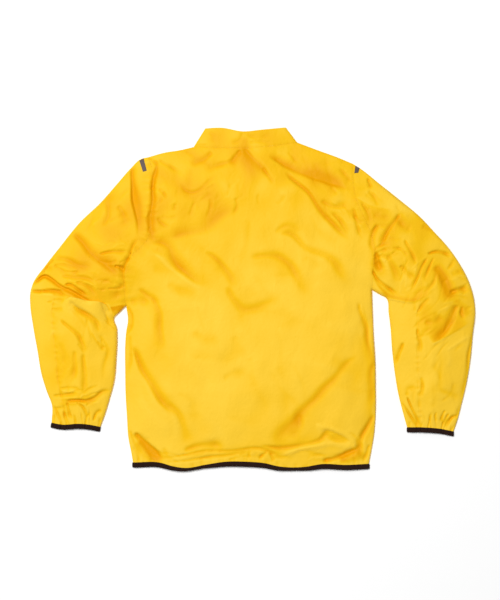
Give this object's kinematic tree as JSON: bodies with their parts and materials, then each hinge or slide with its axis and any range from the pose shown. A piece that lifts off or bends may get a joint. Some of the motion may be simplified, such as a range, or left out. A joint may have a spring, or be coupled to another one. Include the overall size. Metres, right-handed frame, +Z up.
{
  "type": "rain jacket laid flat",
  "caption": "Light zip-up rain jacket with a stand collar and elastic-bound hem and cuffs, laid flat on a surface with its back up.",
  "frame": {"origin": "on the surface under the middle of the laid jacket's outline", "axes": "+X across the jacket to the right of the picture, +Y from the hem to the collar, +Z up from the surface"},
  "size_m": [0.9616, 0.7452, 0.0383],
  "materials": {
    "shell": "yellow coated nylon with a soft sheen",
    "binding": "matt dark brown elastic",
    "zip_tape": "matt woven tape",
    "zip": "satin moulded plastic",
    "reflective": "grey reflective film"
  },
  "bodies": {
    "jacket": {"back": "shell", "front_left": "shell", "front_right": "shell", "sleeve_left_top": "shell", "sleeve_left_under": "shell", "sleeve_right_top": "shell", "sleeve_right_under": "shell", "collar": "shell", "hem_binding": "binding", "cuff_binding_left": "binding", "cuff_binding_right": "binding", "zip_tape_left": "zip_tape", "zip_tape_right": "zip_tape", "zip_coil": "zip", "zip_slider": "zip", "shoulder_tab_left": "reflective", "shoulder_tab_right": "reflective"},
    "pull_tab": {"zip_pull": "zip"}
  },
  "joints": [
    {"name": "pull_hinge", "type": "hinge", "parent": "jacket", "child": "pull_tab", "pos_m": [-0.01481, 0.27643, 0.0023], "axis": [1, 0, 0], "range_deg": [0, 175]}
  ]
}
